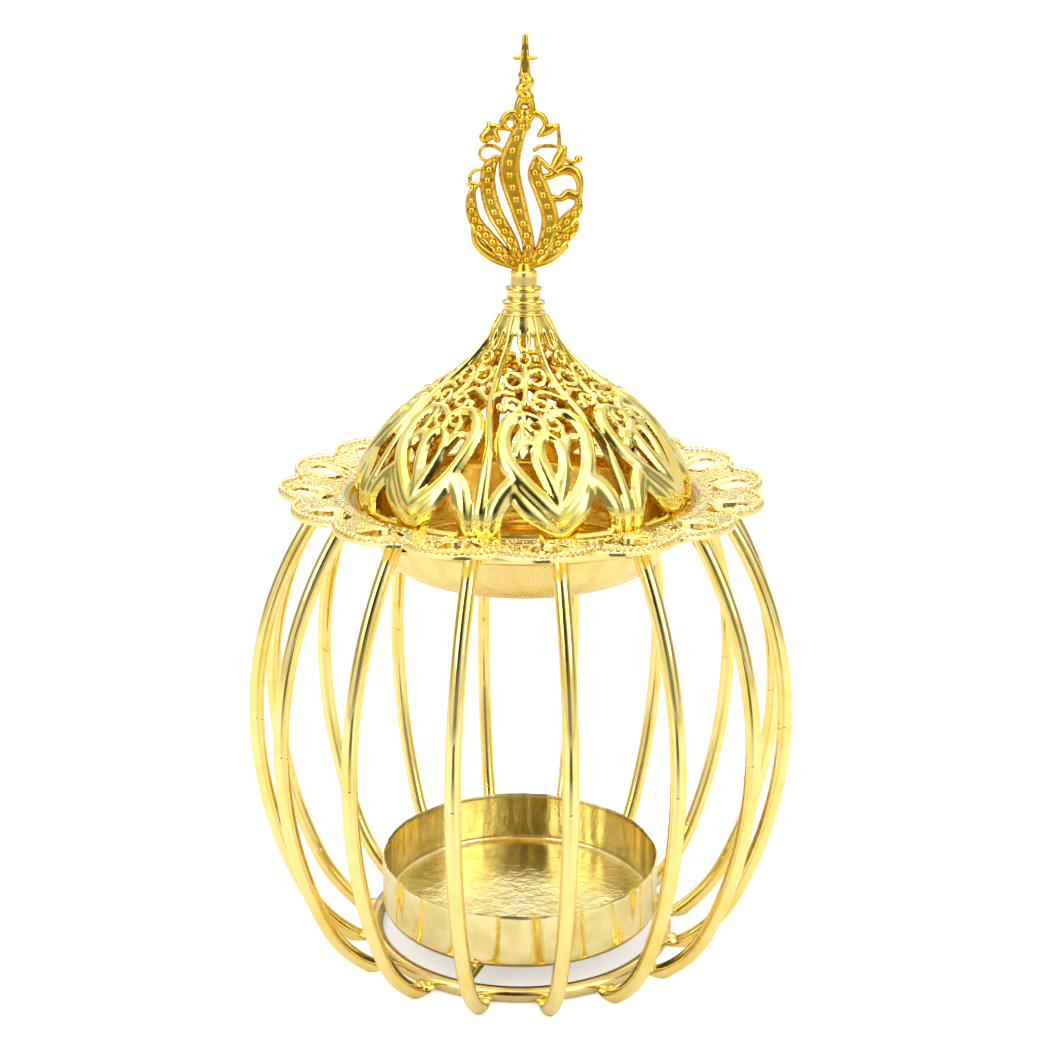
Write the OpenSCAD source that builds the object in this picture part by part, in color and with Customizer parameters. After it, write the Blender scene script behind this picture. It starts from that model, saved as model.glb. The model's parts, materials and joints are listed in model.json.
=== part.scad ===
// Free-standing incense burner: a wire cage with a candle cup, a lift-off bowl with a lace
// flange, and a lift-off pierced lid with a cast finial.
// Millimetres. The origin is the centre of the footprint on the floor, +Z is up, -Y is the front.

/* [Cage] */
// Diameter of the round wire of the ribs, rings and cross bar
wire_d = 3; // [2.6:0.1:3.2]
// Distance from the axis to a rib's centre line where the cage is widest
rib_belly_r = 52.7; // [51.5:0.1:54]
// Height at which the cage is widest
rib_belly_z = 50; // [48:1:52]
// Distance from the axis to where a rib's centre line meets the floor
rib_foot_r = 33; // [32:0.1:34]
// Height of the ribs' upper ends and of the top of the upper ring
cage_h = 93; // [92:0.5:94]
// Turn of the first rib from the front towards +X, in degrees
rib_phase = 9.57; // [8:0.01:11]

/* [Candle cup] */
// Outside diameter of the candle cup
cup_d = 56.6; // [50:0.2:57]
// Height of the candle cup
cup_h = 11.5; // [8:0.5:16]
// Sheet thickness of the candle cup
cup_t = 0.6; // [0.5:0.1:1]

/* [Bowl] */
// Distance from the axis to the tips of the flange's petals
flange_r = 47.2; // [46:0.1:48.5]
// Thickness of the flange
flange_t = 1.2; // [1:0.1:1.5]
// Height of the underside of the bowl's flat bottom
bowl_bottom_z = 79.4; // [78:0.2:81]
// Sheet thickness of the bowl
bowl_t = 1; // [0.8:0.1:1.2]

/* [Lid] */
// Outside radius of the lid's base
lid_r = 32.6; // [32:0.1:33]
// Sheet thickness of the lid
lid_t = 1.1; // [0.9:0.1:1.3]
// Height of the lid's neck, where the stem stands
neck_z = 128.7; // [128:0.1:129.2]

/* [Finial] */
// Height of the finial's tip
tip_z = 180; // [178:0.5:181]
// Thickness of the finial's flat openwork
finial_t = 2.2; // [1.8:0.1:2.6]

/* [Hidden] */
$fn = 96;
RIB_COUNT = 16;
PETAL_COUNT = 16;
LID_REPEATS = 7;
LID_PHASE = 11.7;
PETAL_PHASE = 5.5;
BAR_TURN = -20;
RIB_NODES = [for (i = [1:RIB_COUNT]) str("rib_", i < 10 ? "0" : "", i)];
LOWER_NODES = ["base_ring", "cross_bar", "upper_ring", "candle_cup"];
UPPER_NODES = ["bowl", "lid", "lid_washer", "lid_screw", "finial_stem", "finial"];

// Depth to which a weld joins two round wires
weld = 0.25;
wire_r = wire_d / 2;
// Distance between the centre lines of two wires that are welded side by side
wire_pitch = wire_d - weld;

// A rib's centre line is three arcs that run into each other: up from the belly to the upper
// ring, down from the belly to the toe, and the toe itself, which bends in to the base ring.
rib_up_r = 72;
rib_down_r = 88;
toe_z = 12;
down_turn = asin((rib_belly_z - toe_z) / rib_down_r);
toe_start_r = rib_belly_r - rib_down_r * (1 - cos(down_turn));
toe_chord = norm([toe_start_r - rib_foot_r, toe_z]);
toe_half_turn = atan2(toe_start_r - rib_foot_r, toe_z) - down_turn;
toe_r = toe_chord / (2 * sin(toe_half_turn));
toe_centre = [toe_start_r - toe_r * cos(down_turn), toe_z + toe_r * sin(down_turn)];
// Extra turn at both ends of a rib, which the floor and the top of the cage cut off
end_turn = 6;
// Turn between the end of an arc and the middle of the bend mark beside it
mark_turn = 0.1;
up_turn = asin((cage_h - rib_belly_z) / rib_up_r) + end_turn;

// Both rings lie inside the ribs, one wire pitch from their centre lines
base_ring_z = wire_r;
base_ring_r = toe_centre[0] + sqrt(pow(toe_r - wire_pitch, 2) - pow(toe_centre[1] - base_ring_z, 2));
upper_ring_z = cage_h - wire_r;
upper_ring_r = rib_belly_r - rib_up_r
    + sqrt(pow(rib_up_r - wire_pitch, 2) - pow(upper_ring_z - rib_belly_z, 2));

// The cross bar lies on the base ring and carries the cup
bar_z = base_ring_z + wire_pitch;
bar_len = 2 * (base_ring_r + 0.8);
cup_z = bar_z + wire_r - weld / 2;
cup_corner_r = 1.6;

// Heights where the bowl rests on the cage and the lid rests in the bowl
rest_gap = 0.1;
flange_z = cage_h + rest_gap;
seat_z = flange_z - 0.8;
lid_z = seat_z + rest_gap;
seat_outer_r = lid_r + 0.8;
bowl_corner_r = 6.5;
bowl_flat_r = 21.8;
bowl_wall_tilt = 20;
petal_r = 11;

// The lid's outline is three arcs: a shoulder above the base band, the dome, and the flare
// that curves the other way, up to the neck.
shoulder_r = 7;
dome_r = 43.2;
flare_r = 32.6;
shoulder_turn = 27.6;
dome_turn = 58.4;
shoulder_centre = [lid_r - shoulder_r, 96.1];
dome_centre = shoulder_centre - (dome_r - shoulder_r) * ray(shoulder_turn);
flare_centre = dome_centre + (dome_r + flare_r) * ray(dome_turn);
neck_turn = asin((flare_centre[1] - neck_z) / flare_r);
cap_t = 1.5;
// Turn from the end of one arc of the lid to the first point of the next
dome_step = 5;

// The stem and its fastening
screw_r = 1.4;
screw_play = 0.1;
washer_t = 0.6;
head_r = 2.7;
head_t = 1.9;
stem_top_z = neck_z + 8.3;
screw_tip_z = stem_top_z - 3.6;
tang_r = 1.2;
tang_len = 3;

// Heights on the finial, above the stem's top
bulb_h = 26.2;
collar_h = 31.2;
spire_h = 36.2;
// Bands of the finial's openwork: [distance to the right, height, width] along each centre line
BANDS = [
    [[0, 0, 1.6], [0.85, 4.5, 1.9], [-0.9, 10.9, 3.1], [-2.8, 18.2, 3.8], [-1.6, 23.4, 2.4], [0.3, 27, 1.4]],
    [[-0.5, 0.2, 1.2], [-2.3, 5, 1.9], [-5.6, 10.4, 2.7], [-6.9, 15.4, 2.7], [-5.2, 19.9, 0.9]],
    [[-1, 0.2, 1.2], [-5.3, 4.3, 2.2], [-9.2, 8.8, 2.2], [-10.3, 12.7, 1.8], [-9.8, 14.8, 0.8]],
    [[-1, 0.3, 1.2], [-5.6, 1.9, 1.4], [-8.7, 4.4, 1.2], [-9.3, 7, 1]],
    [[0.7, 0.2, 1.2], [3.6, 4, 2.2], [4.8, 9.5, 3], [3.2, 14.3, 2.8], [1.8, 17.6, 2.4], [2.7, 20.6, 0.9]],
    [[2, 1, 0.9], [4.7, 2.2, 2.2], [7.3, 3.8, 0.7]],
    [[4.6, 3.6, 1.2], [7.4, 5, 2.4], [9.5, 6.5, 0.8]],
    [[5.4, 6.6, 1.4], [8.2, 8.6, 2.6], [10.1, 10.8, 0.9]]
];
// Wire-like loops of the openwork: [distance to the right, height, radius]
LOOPS = [[-6.7, 20.9, 1.7], [-8.9, 16.2, 1.5], [-2.1, 26.3, 1.9], [2.5, 25.6, 2.2], [5, 20.9, 2.1], [8.4, 14.6, 2.4],
    [9.5, 11.6, 1.3], [6, 17, 1.9], [-4.6, 23.8, 1.5]];
loop_w = 0.9;

// Unit vector at an angle from +X
function ray(angle) = [cos(angle), sin(angle)];

// Point on a smooth curve from b to c, with neighbours a and d
function between(a, b, c, d, t) =
    0.5 * (2 * b + (c - a) * t + (2 * a - 5 * b + 4 * c - d) * t * t + (3 * b - a - 3 * c + d) * t * t * t);

// Smooth curve through every point of a list, with n steps from one point to the next
function curve_through(p, n) = [
    for (i = [0:len(p) - 2], k = [0:n - 1])
        between(p[max(i - 1, 0)], p[i], p[i + 1], p[min(i + 2, len(p) - 1)], k / n),
    p[len(p) - 1]
];

// Unit normal, to the left of the way the curve c runs at its point i
function side_of(c, i) =
    let (d = c[min(i + 1, len(c) - 1)] - c[max(i - 1, 0)], l = norm([d[0], d[1]])) [-d[1] / l, d[0] / l];

// Outline of a band that follows the curve c, whose points hold x, y and the width
function band_outline(c) = concat(
    [for (i = [0:len(c) - 1]) [c[i][0], c[i][1]] + side_of(c, i) * c[i][2] / 2],
    [for (i = [len(c) - 1:-1:0]) [c[i][0], c[i][1]] - side_of(c, i) * c[i][2] / 2]
);

// Points along an arc with a centre [x, y], from angle a0 to angle a1, in n steps
function arc_points(centre, r, a0, a1, n) = [for (k = [0:n]) centre + r * ray(a0 + (a1 - a0) * k / n)];

// Bent wire in the XZ plane, around a centre [x, z], from angle a0 to angle a1
module wire_arc(centre, r, a0, a1) {
    translate([centre[0], 0, centre[1]]) rotate([90, 0, 0]) rotate([0, 0, a0])
        rotate_extrude(angle = a1 - a0) translate([r, 0]) circle(wire_r);
}

// Closed ring of wire around the Z axis
module wire_ring(r, z) {
    translate([0, 0, z]) rotate_extrude() translate([r, 0]) circle(wire_r);
}

// Turns its children from the front, at -Y, towards +X
module facing(turn) {
    rotate([0, 0, turn - 90]) children();
}

// Slight swelling that the bending tool leaves where one arc of a rib runs into the next
module bend_mark(r, z) {
    translate([r, 0, z]) sphere(wire_r + 0.04);
}

module rib(turn) {
    up_centre = [rib_belly_r - rib_up_r, rib_belly_z];
    down_centre = [rib_belly_r - rib_down_r, rib_belly_z];
    toe_end = -down_turn - 2 * toe_half_turn - end_turn;
    color("gold") facing(turn) intersection() {
        union() {
            wire_arc(up_centre, rib_up_r, mark_turn, up_turn);
            bend_mark(rib_belly_r, rib_belly_z);
            wire_arc(down_centre, rib_down_r, mark_turn - down_turn, -mark_turn);
            bend_mark(toe_start_r, toe_z);
            wire_arc(toe_centre, toe_r, toe_end, -down_turn - mark_turn);
        }
        translate([0, -wire_d, 0]) cube([2 * rib_belly_r, 2 * wire_d, cage_h]);
    }
}

module base_ring() {
    color("goldenrod") wire_ring(base_ring_r, base_ring_z);
}

module upper_ring() {
    color("gold") wire_ring(upper_ring_r, upper_ring_z);
}

module cross_bar() {
    color("goldenrod") translate([0, 0, bar_z]) facing(BAR_TURN)
        rotate([0, 90, 0]) cylinder(h = bar_len, r = wire_r, center = true);
}

module candle_cup() {
    cup_r = cup_d / 2;
    corner = [cup_r - cup_corner_r, cup_corner_r];
    color("khaki") translate([0, 0, cup_z]) rotate_extrude() polygon(concat(
        [[0, 0]],
        arc_points(corner, cup_corner_r, -90, 0, 6),
        [[cup_r, cup_h], [cup_r - cup_t, cup_h]],
        arc_points(corner, cup_corner_r - cup_t, 0, -90, 6),
        [[0, cup_t]]
    ));
}

// Flange plan: overlapping round petals with one large and two small openings each
module flange_plan() {
    difference() {
        union() {
            circle(flange_r - 5);
            for (i = [0:PETAL_COUNT - 1])
                rotate(PETAL_PHASE - 90 + i * 360 / PETAL_COUNT) translate([flange_r - petal_r, 0]) circle(petal_r);
        }
        circle(seat_outer_r + bowl_t / 2);
        for (i = [0:PETAL_COUNT - 1])
            rotate(PETAL_PHASE - 90 + i * 360 / PETAL_COUNT) {
                translate([flange_r - 5.6, 0]) circle(2.3);
                for (side = [-1, 1]) rotate(side * 6) translate([flange_r - 9.4, 0]) circle(0.9);
            }
    }
}

module bowl() {
    corner = [bowl_flat_r, bowl_bottom_z + bowl_corner_r];
    wall_foot = corner + bowl_corner_r * ray(-bowl_wall_tilt);
    wall_in = bowl_t / cos(bowl_wall_tilt);
    under_seat_z = seat_z - bowl_t;
    under_seat_r = wall_foot[0] + (under_seat_z - wall_foot[1]) * tan(bowl_wall_tilt);
    mouth_r = under_seat_r + bowl_t * tan(bowl_wall_tilt) - wall_in;
    shoulder_out_r = seat_outer_r + bowl_t;
    flange_top_z = flange_z + flange_t;
    color("wheat") union() {
        rotate_extrude() polygon(concat(
            [[0, bowl_bottom_z]],
            arc_points(corner, bowl_corner_r, -90, -bowl_wall_tilt, 7),
            [[under_seat_r, under_seat_z], [shoulder_out_r, under_seat_z], [shoulder_out_r, flange_top_z]],
            [[seat_outer_r, flange_top_z], [seat_outer_r, seat_z], [mouth_r, seat_z]],
            arc_points(corner, bowl_corner_r - bowl_t, -bowl_wall_tilt, -90, 7),
            [[0, bowl_bottom_z + bowl_t]]
        ));
        translate([0, 0, flange_z]) linear_extrude(flange_t) flange_plan();
    }
}

// Opening cut straight out through the lid's wall, from near_r outwards: a round head above a point
module drop_cut(turn, low_z, high_z, width, near_r) {
    r = width / 2;
    facing(turn) translate([near_r, 0, 0]) rotate([90, 0, 90]) linear_extrude(lid_r + 1 - near_r) union() {
        translate([0, high_z - r]) circle(r);
        polygon([[-r, high_z - r], [0, low_z], [r, high_z - r]]);
    }
}

// Three-sided opening between the heart's lower edge and the leg of the arch beside it
module arch_cut(turn, side) {
    near_r = 26;
    facing(turn) translate([near_r, 0, 0]) rotate([90, 0, 90]) linear_extrude(lid_r + 1 - near_r)
        polygon([[-3.3 * side, 95], [3.3 * side, 95], [2.6 * side, 99], [0.6 * side, 102]]);
}

module lid_openings() {
    for (i = [0:LID_REPEATS - 1]) {
        turn = LID_PHASE + i * 360 / LID_REPEATS;
        drop_cut(turn, 101, 110.5, 3.2, 21);
        drop_cut(turn, 117.5, 124, 2.2, 5);
        for (side = [-1, 1]) {
            drop_cut(turn + side * 8.6, 100.5, 109.5, 3, 21.5);
            drop_cut(turn + side * 6.5, 111.6, 114.6, 2.6, 16);
            drop_cut(turn + side * 13.5, 116, 119.6, 2.2, 10.5);
            drop_cut(turn + side * 21, 100, 110, 2.4, 22);
            arch_cut(turn + side * 13.2, side);
        }
    }
}

module lid() {
    under_cap_z = neck_z - cap_t;
    under_cap_turn = asin((flare_centre[1] - under_cap_z) / (flare_r + lid_t));
    color("gold") difference() {
        rotate_extrude() polygon(concat(
            [[lid_r, lid_z]],
            arc_points(shoulder_centre, shoulder_r, 0, shoulder_turn, 3),
            arc_points(dome_centre, dome_r, shoulder_turn + dome_step, dome_turn, 5),
            arc_points(flare_centre, flare_r, 180 + dome_turn - dome_step, 180 + neck_turn, 5),
            [[0, neck_z], [0, under_cap_z]],
            arc_points(flare_centre, flare_r + lid_t, 180 + under_cap_turn, 180 + dome_turn - dome_step, 5),
            arc_points(dome_centre, dome_r - lid_t, dome_turn, shoulder_turn + dome_step, 5),
            arc_points(shoulder_centre, shoulder_r - lid_t, shoulder_turn, 0, 3),
            [[lid_r - lid_t, lid_z]]
        ));
        lid_openings();
        translate([0, 0, neck_z - 2 * cap_t]) cylinder(h = 3 * cap_t, r = screw_r + 0.2);
    }
}

module lid_washer() {
    color("silver") translate([0, 0, neck_z - cap_t - washer_t]) difference() {
        cylinder(h = washer_t, r = head_r + 0.6);
        translate([0, 0, -1]) cylinder(h = washer_t + 2, r = screw_r + 0.2);
    }
}

module lid_screw() {
    head_z = neck_z - cap_t - washer_t - head_t;
    slot_w = 0.7;
    color("silver") difference() {
        union() {
            translate([0, 0, head_z]) cylinder(h = head_t, r = head_r);
            translate([0, 0, head_z]) cylinder(h = screw_tip_z - head_z, r = screw_r);
        }
        for (turn = [0, 90])
            translate([0, 0, head_z]) rotate([0, 0, turn]) cube([3.4, slot_w, 2.2], center = true);
    }
}

// Turned stem: base ring, plain length, ring, waist, thin ring and socket, from the bottom up
module finial_stem() {
    color("gold") translate([0, 0, neck_z]) difference() {
        union() {
            cylinder(h = 0.6, r = 4.15);
            cylinder(h = 1.9, r = 3.8);
            translate([0, 0, 1.8]) cylinder(h = 0.8, r = 4.1);
            translate([0, 0, 2.5]) cylinder(h = 2.1, r = 3.25);
            translate([0, 0, 4.5]) cylinder(h = 0.7, r = 3.5);
            cylinder(h = stem_top_z - neck_z, r = 2.52);
        }
        translate([0, 0, -1]) cylinder(h = screw_tip_z - neck_z + 1.2, r = screw_r + screw_play);
        translate([0, 0, stem_top_z - neck_z - tang_len - 0.1])
            cylinder(h = tang_len + 1, r = tang_r + screw_play);
    }
}

// Flat openwork of the finial, standing on its own base line
module finial_plan() {
    for (p = BANDS) polygon(band_outline(curve_through(p, 5)));
    for (l = LOOPS)
        translate([l[0], l[1]]) difference() {
            circle(l[2]);
            circle(l[2] - loop_w);
        }
    translate([-5.9, 22.6]) circle(1.3);
    polygon([[-7.1, 23], [-5.9, 26], [-4.7, 23]]);
    translate([-1.4, -0.2]) square([2.8, 1.2]);
    translate([-1.1, bulb_h]) square([2.2, collar_h - bulb_h]);
}

module finial() {
    spire_base_z = stem_top_z + spire_h;
    color("darkgoldenrod") union() {
        translate([0, finial_t / 2, stem_top_z + 0.2]) rotate([90, 0, 0]) linear_extrude(finial_t) finial_plan();
        translate([0, 0, stem_top_z - tang_len]) cylinder(h = tang_len + 1, r = tang_r);
        translate([0, 0, stem_top_z + bulb_h + 2]) cylinder(h = collar_h - bulb_h - 2, r1 = 2.4, r2 = 1.5);
        for (k = [0, 1, 2])
            translate([0, 0, stem_top_z + collar_h + 1 + 1.7 * k]) sphere(1.75 - 0.1 * k);
        translate([0, 0, spire_base_z - 1]) cylinder(h = tip_z - spire_base_z + 1, r1 = 1.15, r2 = 0.4);
        translate([0, 0, spire_base_z + 2.6]) rotate([0, 90, 0]) cylinder(h = 3.9, r = 0.35, center = true);
    }
}

for (i = [0:RIB_COUNT - 1])
    rib(rib_phase + i * 360 / RIB_COUNT);
base_ring();
cross_bar();
upper_ring();
candle_cup();
bowl();
lid();
lid_washer();
lid_screw();
finial_stem();
finial();
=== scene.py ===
"""Looks of a free-standing incense burner: wire cage, lace-flanged bowl, pierced lid, cast finial.

The scene is in metres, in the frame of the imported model: +Z is up and -Y is the front.
Shapes are worked out in millimetres and scaled once, when a mesh is made.
"""
import json
import math
import random

import bpy
import numpy as np
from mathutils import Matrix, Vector


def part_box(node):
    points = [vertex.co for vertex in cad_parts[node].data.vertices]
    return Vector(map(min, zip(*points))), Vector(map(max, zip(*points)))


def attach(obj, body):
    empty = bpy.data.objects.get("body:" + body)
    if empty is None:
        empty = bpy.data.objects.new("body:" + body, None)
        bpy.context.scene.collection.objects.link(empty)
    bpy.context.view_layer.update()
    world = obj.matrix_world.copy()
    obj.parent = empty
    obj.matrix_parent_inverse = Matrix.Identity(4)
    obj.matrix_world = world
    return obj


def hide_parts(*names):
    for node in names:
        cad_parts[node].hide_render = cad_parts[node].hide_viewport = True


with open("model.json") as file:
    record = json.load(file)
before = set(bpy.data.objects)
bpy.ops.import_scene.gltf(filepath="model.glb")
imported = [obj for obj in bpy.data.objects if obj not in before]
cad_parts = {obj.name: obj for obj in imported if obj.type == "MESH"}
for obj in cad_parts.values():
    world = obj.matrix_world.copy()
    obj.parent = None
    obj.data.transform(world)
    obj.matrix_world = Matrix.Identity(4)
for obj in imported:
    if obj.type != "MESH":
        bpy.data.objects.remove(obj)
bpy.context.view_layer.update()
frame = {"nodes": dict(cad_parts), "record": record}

MM = 0.001
FULL_TURN = 2 * math.pi
UP = np.array([0, 0, 1.0])


def node_box(name):
    """Lowest and highest corner of a CAD node, in millimetres."""
    low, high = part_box(name)
    return np.array(low) / MM, np.array(high) / MM


def level_direction(turn):
    """Level unit vector at a turn in radians, which counts from the front to the right."""
    return np.array([math.sin(turn), -math.cos(turn), 0])


# ---------------------------------------------------------------- mesh helpers

def make_object(name, vertices, faces, material, sharp=40):
    """Smooth object from points in mm, with sharp edges where faces bend more than an angle."""
    mesh = bpy.data.meshes.new(name)
    mesh.from_pydata((np.asarray(vertices, float) * MM).tolist(), [], faces)
    mesh.validate()
    mesh.shade_smooth()
    mesh.set_sharp_from_angle(angle=math.radians(sharp))
    mesh.materials.append(material)
    piece = bpy.data.objects.new(name, mesh)
    bpy.context.scene.collection.objects.link(piece)
    return piece


def joined(name, pieces):
    """One object made of several that share its slots."""
    bpy.ops.object.select_all(action="DESELECT")
    for piece in pieces:
        piece.select_set(True)
    bpy.context.view_layer.objects.active = pieces[0]
    bpy.ops.object.join()
    pieces[0].name = name
    return pieces[0]


def finished(piece, body, slot, *nodes):
    """A piece that rides on a body and stands for CAD nodes, which it hides. The slot is not used.
    """
    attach(piece, body)
    if nodes:
        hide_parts(*nodes)
    return piece


def smooth_step(low, high, x):
    """0 below low, 1 above high, and a smooth ramp between them."""
    t = np.clip((x - low) / (high - low), 0, 1)
    return t * t * (3 - 2 * t)


def curve_through(points, steps=8):
    """Smooth curve through every point, with a number of steps from one point to the next."""
    p = np.asarray(points, float)
    padded = np.vstack([p[0], p, p[-1]])
    t = np.arange(steps)[:, None] / steps
    out = []
    for a, b, c, d in zip(padded, padded[1:], padded[2:], padded[3:]):
        bend = (2 * a - 5 * b + 4 * c - d) * t ** 2 + (3 * b - a - 3 * c + d) * t ** 3
        out.append(0.5 * (2 * b + (c - a) * t + bend))
    return np.vstack([*out, p[-1:]])


def band_fields(x, y, curve):
    """Distance to the edge of a band, negative inside, and the band's half width there.

    The curve's points hold x, y and the full width.
    """
    nearest = np.full(x.shape, 1e3)
    half = np.ones(x.shape)
    for (ax, ay, aw), (bx, by, bw) in zip(curve, curve[1:]):
        dx, dy = bx - ax, by - ay
        t = np.clip(((x - ax) * dx + (y - ay) * dy) / (dx * dx + dy * dy + 1e-9), 0, 1)
        w = (aw + (bw - aw) * t) / 2
        d = np.hypot(x - ax - t * dx, y - ay - t * dy) - w
        closer = d < nearest
        nearest = np.where(closer, d, nearest)
        half = np.where(closer, w, half)
    return nearest, half


def rounded(distance, half):
    """Cross-section of a rounded band: 1 on its centre line and 0 at its edge."""
    depth = np.clip(-distance / half, 0, 1)
    return np.sqrt(np.clip(1 - (1 - depth) ** 2, 0, 1))


def crowned(distance, half, shoulder=0.75):
    """Cross-section of a pressed band: sloping shoulders and a nearly flat top."""
    width = np.minimum(half, shoulder)
    return 0.8 * smooth_step(0, 1, -distance / width) + 0.2 * rounded(distance, half)


def softened(grid):
    """Grid averaged with its neighbours, joined up from its last column to its first."""
    beside = (np.roll(grid, 1, 1) + 2 * grid + np.roll(grid, -1, 1)) / 4
    above, below = np.vstack([beside[:1], beside[:-1]]), np.vstack([beside[1:], beside[-1:]])
    return (above + 2 * beside + below) / 4


def pierced_shell(name, outer, inner, field, material, closed=True, fan=False, sharp=40):
    """Sheet between two grids of points, kept where the field is negative.

    The grids are rows x columns x 3. A closed sheet joins its last column to its first, and a
    fan closes its first row with one flat face. Cut edges follow the field's zero line.
    """
    rows, columns = field.shape
    field = np.where(np.abs(field) < 1e-3, -1e-3, field)
    kept = field < 0
    right = (np.arange(columns) + 1) % columns
    count = 0
    corner = np.full((rows, columns), -1)
    corner[kept] = np.arange(kept.sum())
    count += int(kept.sum())
    across = kept != kept[:, right]
    if not closed:
        across[:, -1] = False
    edge_h = np.full((rows, columns), -1)
    edge_h[across] = count + np.arange(across.sum())
    count += int(across.sum())
    along = kept[:-1] != kept[1:]
    edge_v = np.full((rows - 1, columns), -1)
    edge_v[along] = count + np.arange(along.sum())
    count += int(along.sum())

    def layer(grid):
        f = field[..., None]
        share_h = f / (f - f[:, right] + 1e-12)
        share_v = f[:-1] / (f[:-1] - f[1:] + 1e-12)
        cut_h = grid + (grid[:, right] - grid) * share_h
        cut_v = grid[:-1] + (grid[1:] - grid[:-1]) * share_v
        return np.vstack([grid[kept], cut_h[across], cut_v[along]])

    vertices = np.vstack([layer(outer), layer(inner)])
    last = columns if closed else columns - 1
    i, j = np.meshgrid(np.arange(rows - 1), np.arange(last), indexing="ij")
    i, j = i.ravel(), j.ravel()
    k = right[j]
    corners = [(i, j), (i, k), (i + 1, k), (i + 1, j)]
    cuts = [edge_h[i, j], edge_v[i, k], edge_h[i + 1, j], edge_v[i, j]]
    case = sum(kept[c] * (1 << n) for n, c in enumerate(corners))
    faces = []
    for code in range(1, 16):
        cells = np.nonzero(case == code)[0]
        if not len(cells):
            continue
        ring, is_cut = [], []
        for n in range(4):
            here, after = code >> n & 1, code >> ((n + 1) % 4) & 1
            if here:
                ring.append(corner[corners[n]][cells])
                is_cut.append(False)
            if here != after:
                ring.append(cuts[n][cells])
                is_cut.append(True)
        ring = np.stack(ring, 1)
        faces += ring.tolist()
        faces += (ring[:, ::-1] + count).tolist()
        size = ring.shape[1]
        for n in range(size):
            m = (n + 1) % size
            if is_cut[n] and is_cut[m]:
                a, b = ring[:, n], ring[:, m]
                faces += np.stack([b, a, a + count, b + count], 1).tolist()
    for row, flip in ((0, False), (rows - 1, True)):
        both = kept[row] & kept[row, right]
        if fan and row == 0:
            faces.append(corner[0][::-1].tolist())
            faces.append((corner[0] + count).tolist())
            continue
        a, b = corner[row][both], corner[row, right][both]
        border = np.stack([b, a, a + count, b + count], 1)
        faces += (border[:, ::-1] if flip else border).tolist()
    return make_object(name, vertices, faces, material, sharp)


def revolve(profile, columns, wobble=None):
    """Grid of points from a list of [radius, height], turned about the Z axis.

    wobble(turn, radius, height) gives what is added to the radius and to the height.
    """
    turn = np.linspace(0, FULL_TURN, columns, endpoint=False)[None, :]
    r = np.asarray(profile, float)[:, :1]
    z = np.asarray(profile, float)[:, 1:]
    turn, r, z = np.broadcast_arrays(turn, r, z)
    if wobble:
        dr, dz = wobble(turn, r, z)
        r, z = r + dr, z + dz
    return np.stack([r * np.sin(turn), -r * np.cos(turn), z], -1)


def run_along(points):
    """Distance along a line of points, from its first point to each."""
    return np.concatenate([[0], np.cumsum(np.linalg.norm(np.diff(points, axis=0), axis=1))])


def fillet(points, radii, step):
    """Outline through [radius, height] corners with rounded bends, as closely spaced points."""
    p = [np.array(q, float) for q in points]
    out = [p[0]]
    for a, b, c, r in zip(p, p[1:], p[2:], radii):
        u, v = (a - b) / np.linalg.norm(a - b), (c - b) / np.linalg.norm(c - b)
        half = math.acos(np.clip(u @ v, -1, 1)) / 2
        reach = r / math.tan(half)
        centre = b + (u + v) / np.linalg.norm(u + v) * r / math.sin(half)
        first, last = b + u * reach - centre, b + v * reach - centre
        sweep = math.pi - 2 * half
        n = max(3, int(sweep * r / step) + 3)
        for t in np.linspace(0, 1, n):
            w = (math.sin((1 - t) * sweep) * first + math.sin(t * sweep) * last) / math.sin(sweep)
            out.append(centre + w)
    out.append(p[-1])
    dense = [out[0]]
    for a, b in zip(out, out[1:]):
        n = max(1, round(np.linalg.norm(b - a) / step))
        dense += [a + (b - a) * (k + 1) / n for k in range(n)]
    return np.array(dense)


def normals_of(profile):
    """Unit normals to the right of the way a profile of [radius, height] runs."""
    d = np.gradient(np.asarray(profile, float), axis=0)
    d /= np.linalg.norm(d, axis=1)[:, None]
    return np.column_stack([d[:, 1], -d[:, 0]])


def sheet(name, profile, thickness, columns, material, wobble):
    """Round sheet piece from its inside profile of [radius, height], with a rounded rim."""
    away = normals_of(profile)
    run = run_along(profile)
    share = np.clip((run[-1] - run) / (thickness / 2), 0, 1)
    half = thickness / 2 * np.sqrt(1 - (1 - share) ** 2 * 0.96)
    middle = profile + away * thickness / 2
    outer = revolve(middle + away * half[:, None], columns, wobble)
    inner = revolve(middle - away * half[:, None], columns, wobble)
    return pierced_shell(name, outer, inner, np.full(outer.shape[:2], -1.0), material, fan=True)


def turned(name, profile, columns, material):
    """Solid of revolution from an outline of [radius, height] that starts and ends at the axis."""
    vertices = revolve(profile, columns).reshape(-1, 3)
    top_row = (len(profile) - 1) * columns
    faces = []
    for row in range(0, top_row, columns):
        for j in range(columns):
            a, b = row + j, row + (j + 1) % columns
            faces.append([a, b, b + columns, a + columns])
    faces.append(list(range(columns))[::-1])
    faces.append(list(range(top_row, top_row + columns)))
    return make_object(name, vertices, faces, material, sharp=35)


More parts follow.
